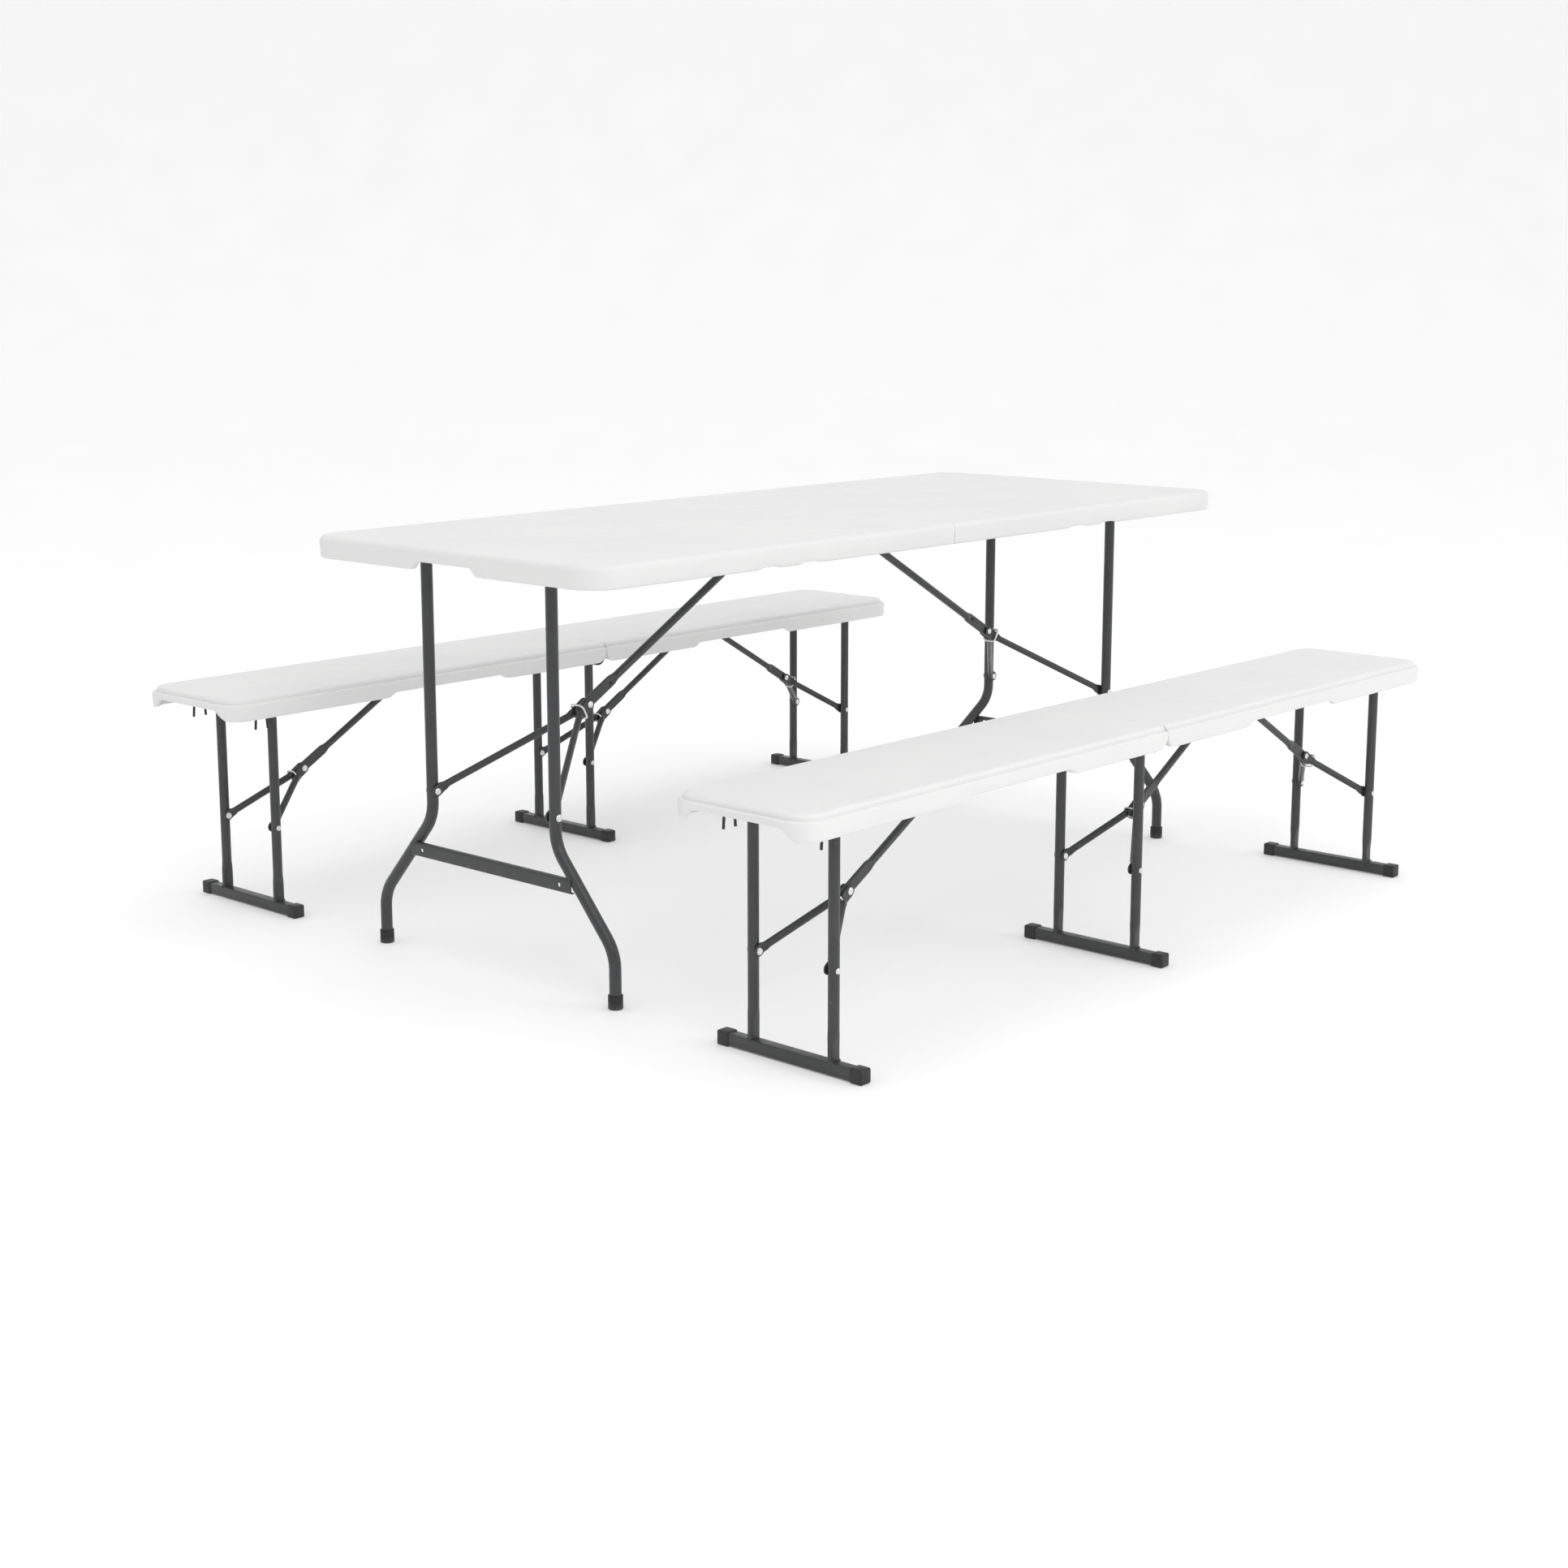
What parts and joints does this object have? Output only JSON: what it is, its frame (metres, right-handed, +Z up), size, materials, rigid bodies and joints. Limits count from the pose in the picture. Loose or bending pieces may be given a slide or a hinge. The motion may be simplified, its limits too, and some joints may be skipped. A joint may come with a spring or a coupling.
{
  "type": "picnic table",
  "caption": "Folding picnic table with two folding benches: white moulded fold-in-half tops on dark tubular steel legs with folding braces.",
  "frame": {"origin": "on the ground under the middle of the table top", "axes": "+X along the table, +Y across it towards the back bench, +Z up"},
  "size_m": [1.88, 1.675, 0.74],
  "materials": {
    "white_plastic": "fine-grained satin polyethylene",
    "charcoal_steel": "satin powder coat",
    "black_plastic": "moulded, satin",
    "black_rubber": "matt",
    "zinc_steel": "bright zinc plate"
  },
  "bodies": {
    "table_right_half": {"table_top_right": "white_plastic", "table_hinge_right": "zinc_steel", "table_right_mounts": "black_plastic"},
    "table_left_half": {"table_top_left": "white_plastic", "table_hinge_left": "zinc_steel", "table_left_mounts": "black_plastic"},
    "front_right_half": {"front_seat_right": "white_plastic", "front_hinge_right": "black_plastic", "front_mounts_right": "black_plastic"},
    "front_left_half": {"front_seat_left": "white_plastic", "front_hinge_left": "black_plastic", "front_mounts_left": "black_plastic", "front_clips": "black_plastic"},
    "back_right_half": {"back_seat_right": "white_plastic", "back_hinge_right": "black_plastic", "back_mounts_right": "black_plastic"},
    "back_left_half": {"back_seat_left": "white_plastic", "back_hinge_left": "black_plastic", "back_mounts_left": "black_plastic", "back_clips": "black_plastic"},
    "table_left_legs_body": {"table_left_legs": "charcoal_steel", "table_left_feet": "black_rubber"},
    "table_left_arms_body": {"table_left_arms": "charcoal_steel"},
    "table_left_brace_body": {"table_left_brace": "charcoal_steel"},
    "table_left_ring_body": {"table_left_ring": "zinc_steel"},
    "table_right_legs_body": {"table_right_legs": "charcoal_steel", "table_right_feet": "black_rubber"},
    "table_right_arms_body": {"table_right_arms": "charcoal_steel"},
    "table_right_brace_body": {"table_right_brace": "charcoal_steel"},
    "table_right_ring_body": {"table_right_ring": "zinc_steel"},
    "front_left_legs_body": {"front_left_legs": "charcoal_steel", "front_left_feet": "black_plastic"},
    "front_left_arms_body": {"front_left_arms": "charcoal_steel"},
    "front_left_brace_body": {"front_left_brace": "charcoal_steel"},
    "front_left_ring_body": {"front_left_ring": "zinc_steel"},
    "front_mid_legs_body": {"front_mid_legs": "charcoal_steel", "front_mid_feet": "black_plastic"},
    "front_mid_arms_body": {"front_mid_arms": "charcoal_steel"},
    "front_mid_brace_body": {"front_mid_brace": "charcoal_steel"},
    "front_mid_ring_body": {"front_mid_ring": "zinc_steel"},
    "front_right_legs_body": {"front_right_legs": "charcoal_steel", "front_right_feet": "black_plastic"},
    "front_right_arms_body": {"front_right_arms": "charcoal_steel"},
    "front_right_brace_body": {"front_right_brace": "charcoal_steel"},
    "front_right_ring_body": {"front_right_ring": "zinc_steel"},
    "back_left_legs_body": {"back_left_legs": "charcoal_steel", "back_left_feet": "black_plastic"},
    "back_left_arms_body": {"back_left_arms": "charcoal_steel"},
    "back_left_brace_body": {"back_left_brace": "charcoal_steel"},
    "back_left_ring_body": {"back_left_ring": "zinc_steel"},
    "back_mid_legs_body": {"back_mid_legs": "charcoal_steel", "back_mid_feet": "black_plastic"},
    "back_mid_arms_body": {"back_mid_arms": "charcoal_steel"},
    "back_mid_brace_body": {"back_mid_brace": "charcoal_steel"},
    "back_mid_ring_body": {"back_mid_ring": "zinc_steel"},
    "back_right_legs_body": {"back_right_legs": "charcoal_steel", "back_right_feet": "black_plastic"},
    "back_right_arms_body": {"back_right_arms": "charcoal_steel"},
    "back_right_brace_body": {"back_right_brace": "charcoal_steel"},
    "back_right_ring_body": {"back_right_ring": "zinc_steel"}
  },
  "joints": [
    {"name": "table_fold_in_half", "type": "hinge", "parent": "table_right_half", "child": "table_left_half", "pos_m": [0, 0, 0.6985], "axis": [0, -1, 0], "range_deg": [0, 85]},
    {"name": "front_bench_move", "type": "slide", "parent": "table_right_half", "child": "front_right_half", "axis": [0, -1, 0], "range_m": [-0.2, 0.5]},
    {"name": "front_bench_fold_in_half", "type": "hinge", "parent": "front_right_half", "child": "front_left_half", "pos_m": [0, -0.69, 0.3955], "axis": [0, -1, 0], "range_deg": [0, 75]},
    {"name": "back_bench_move", "type": "slide", "parent": "table_right_half", "child": "back_right_half", "axis": [0, 1, 0], "range_m": [-0.2, 0.5]},
    {"name": "back_bench_fold_in_half", "type": "hinge", "parent": "back_right_half", "child": "back_left_half", "pos_m": [0, 0.69, 0.3955], "axis": [0, -1, 0], "range_deg": [0, 75]},
    {"name": "table_left_leg_fold", "type": "hinge", "parent": "table_left_half", "child": "table_left_legs_body", "pos_m": [-0.802, 0, 0.712], "axis": [0, -1, 0], "range_deg": [0, 90]},
    {"name": "table_left_arm_turn", "type": "hinge", "parent": "table_left_legs_body", "child": "table_left_arms_body", "pos_m": [-0.802, 0, 0.3], "axis": [0, -1, 0], "range_deg": [0, 59.65]},
    {"name": "table_left_brace_turn", "type": "hinge", "parent": "table_left_half", "child": "table_left_brace_body", "pos_m": [-0.085, 0, 0.7235], "axis": [0, -1, 0], "range_deg": [-27.51, 0]},
    {"name": "table_left_ring_slide", "type": "slide", "parent": "table_left_brace_body", "child": "table_left_ring_body", "axis": [0.869, 0, 0.4949], "range_m": [0, 0.1]},
    {"name": "table_right_leg_fold", "type": "hinge", "parent": "table_right_half", "child": "table_right_legs_body", "pos_m": [0.802, 0, 0.712], "axis": [0, 1, 0], "range_deg": [0, 90]},
    {"name": "table_right_arm_turn", "type": "hinge", "parent": "table_right_legs_body", "child": "table_right_arms_body", "pos_m": [0.802, 0, 0.3], "axis": [0, 1, 0], "range_deg": [0, 59.65]},
    {"name": "table_right_brace_turn", "type": "hinge", "parent": "table_right_half", "child": "table_right_brace_body", "pos_m": [0.085, 0, 0.7235], "axis": [0, 1, 0], "range_deg": [-27.51, 0]},
    {"name": "table_right_ring_slide", "type": "slide", "parent": "table_right_brace_body", "child": "table_right_ring_body", "axis": [-0.869, 0, 0.4949], "range_m": [0, 0.1]},
    {"name": "front_left_leg_fold", "type": "hinge", "parent": "front_left_half", "child": "front_left_legs_body", "pos_m": [-0.809, -0.69, 0.3955], "axis": [0, -1, 0], "range_deg": [0, 88]},
    {"name": "front_left_arm_turn", "type": "hinge", "parent": "front_left_legs_body", "child": "front_left_arms_body", "pos_m": [-0.809, -0.69, 0.163], "axis": [0, -1, 0], "range_deg": [0, 65.71]},
    {"name": "front_left_brace_turn", "type": "hinge", "parent": "front_left_half", "child": "front_left_brace_body", "pos_m": [-0.4005, -0.69, 0.411], "axis": [0, -1, 0], "range_deg": [-22.41, 0]},
    {"name": "front_left_ring_slide", "type": "slide", "parent": "front_left_brace_body", "child": "front_left_ring_body", "axis": [0.8657, 0, 0.5006], "range_m": [0, 0.075]},
    {"name": "front_mid_leg_fold", "type": "hinge", "parent": "front_right_half", "child": "front_mid_legs_body", "pos_m": [0, -0.69, 0.3955], "axis": [0, -1, 0], "range_deg": [0, 88]},
    {"name": "front_mid_arm_turn", "type": "hinge", "parent": "front_mid_legs_body", "child": "front_mid_arms_body", "pos_m": [0, -0.69, 0.163], "axis": [0, -1, 0], "range_deg": [0, 65.71]},
    {"name": "front_mid_brace_turn", "type": "hinge", "parent": "front_right_half", "child": "front_mid_brace_body", "pos_m": [0.4085, -0.69, 0.411], "axis": [0, -1, 0], "range_deg": [-22.41, 0]},
    {"name": "front_mid_ring_slide", "type": "slide", "parent": "front_mid_brace_body", "child": "front_mid_ring_body", "axis": [0.8657, 0, 0.5006], "range_m": [0, 0.075]},
    {"name": "front_right_leg_fold", "type": "hinge", "parent": "front_right_half", "child": "front_right_legs_body", "pos_m": [0.834, -0.69, 0.3955], "axis": [0, 1, 0], "range_deg": [0, 88]},
    {"name": "front_right_arm_turn", "type": "hinge", "parent": "front_right_legs_body", "child": "front_right_arms_body", "pos_m": [0.834, -0.69, 0.163], "axis": [0, 1, 0], "range_deg": [0, 65.71]},
    {"name": "front_right_brace_turn", "type": "hinge", "parent": "front_right_half", "child": "front_right_brace_body", "pos_m": [0.4255, -0.69, 0.411], "axis": [0, 1, 0], "range_deg": [-22.41, 0]},
    {"name": "front_right_ring_slide", "type": "slide", "parent": "front_right_brace_body", "child": "front_right_ring_body", "axis": [-0.8657, 0, 0.5006], "range_m": [0, 0.075]},
    {"name": "back_left_leg_fold", "type": "hinge", "parent": "back_left_half", "child": "back_left_legs_body", "pos_m": [-0.809, 0.69, 0.3955], "axis": [0, -1, 0], "range_deg": [0, 88]},
    {"name": "back_left_arm_turn", "type": "hinge", "parent": "back_left_legs_body", "child": "back_left_arms_body", "pos_m": [-0.809, 0.69, 0.163], "axis": [0, -1, 0], "range_deg": [0, 65.71]},
    {"name": "back_left_brace_turn", "type": "hinge", "parent": "back_left_half", "child": "back_left_brace_body", "pos_m": [-0.4005, 0.69, 0.411], "axis": [0, -1, 0], "range_deg": [-22.41, 0]},
    {"name": "back_left_ring_slide", "type": "slide", "parent": "back_left_brace_body", "child": "back_left_ring_body", "axis": [0.8657, 0, 0.5006], "range_m": [0, 0.075]},
    {"name": "back_mid_leg_fold", "type": "hinge", "parent": "back_right_half", "child": "back_mid_legs_body", "pos_m": [0, 0.69, 0.3955], "axis": [0, -1, 0], "range_deg": [0, 88]},
    {"name": "back_mid_arm_turn", "type": "hinge", "parent": "back_mid_legs_body", "child": "back_mid_arms_body", "pos_m": [0, 0.69, 0.163], "axis": [0, -1, 0], "range_deg": [0, 65.71]},
    {"name": "back_mid_brace_turn", "type": "hinge", "parent": "back_right_half", "child": "back_mid_brace_body", "pos_m": [0.4085, 0.69, 0.411], "axis": [0, -1, 0], "range_deg": [-22.41, 0]},
    {"name": "back_mid_ring_slide", "type": "slide", "parent": "back_mid_brace_body", "child": "back_mid_ring_body", "axis": [0.8657, 0, 0.5006], "range_m": [0, 0.075]},
    {"name": "back_right_leg_fold", "type": "hinge", "parent": "back_right_half", "child": "back_right_legs_body", "pos_m": [0.834, 0.69, 0.3955], "axis": [0, 1, 0], "range_deg": [0, 88]},
    {"name": "back_right_arm_turn", "type": "hinge", "parent": "back_right_legs_body", "child": "back_right_arms_body", "pos_m": [0.834, 0.69, 0.163], "axis": [0, 1, 0], "range_deg": [0, 65.71]},
    {"name": "back_right_brace_turn", "type": "hinge", "parent": "back_right_half", "child": "back_right_brace_body", "pos_m": [0.4255, 0.69, 0.411], "axis": [0, 1, 0], "range_deg": [-22.41, 0]},
    {"name": "back_right_ring_slide", "type": "slide", "parent": "back_right_brace_body", "child": "back_right_ring_body", "axis": [-0.8657, 0, 0.5006], "range_m": [0, 0.075]}
  ],
  "couplings": [
    {"joint": "table_left_arm_turn", "follows": "table_left_leg_fold", "ratio": 0.66263},
    {"joint": "table_left_brace_turn", "follows": "table_left_leg_fold", "ratio": -0.30559},
    {"joint": "table_right_arm_turn", "follows": "table_right_leg_fold", "ratio": 0.66263},
    {"joint": "table_right_brace_turn", "follows": "table_right_leg_fold", "ratio": -0.30559},
    {"joint": "front_left_arm_turn", "follows": "front_left_leg_fold", "ratio": 0.74662},
    {"joint": "front_left_brace_turn", "follows": "front_left_leg_fold", "ratio": -0.25458},
    {"joint": "front_mid_arm_turn", "follows": "front_mid_leg_fold", "ratio": 0.74662},
    {"joint": "front_mid_brace_turn", "follows": "front_mid_leg_fold", "ratio": -0.25458},
    {"joint": "front_right_arm_turn", "follows": "front_right_leg_fold", "ratio": 0.74662},
    {"joint": "front_right_brace_turn", "follows": "front_right_leg_fold", "ratio": -0.25458},
    {"joint": "back_left_arm_turn", "follows": "back_left_leg_fold", "ratio": 0.74662},
    {"joint": "back_left_brace_turn", "follows": "back_left_leg_fold", "ratio": -0.25458},
    {"joint": "back_mid_arm_turn", "follows": "back_mid_leg_fold", "ratio": 0.74662},
    {"joint": "back_mid_brace_turn", "follows": "back_mid_leg_fold", "ratio": -0.25458},
    {"joint": "back_right_arm_turn", "follows": "back_right_leg_fold", "ratio": 0.74662},
    {"joint": "back_right_brace_turn", "follows": "back_right_leg_fold", "ratio": -0.25458}
  ]
}
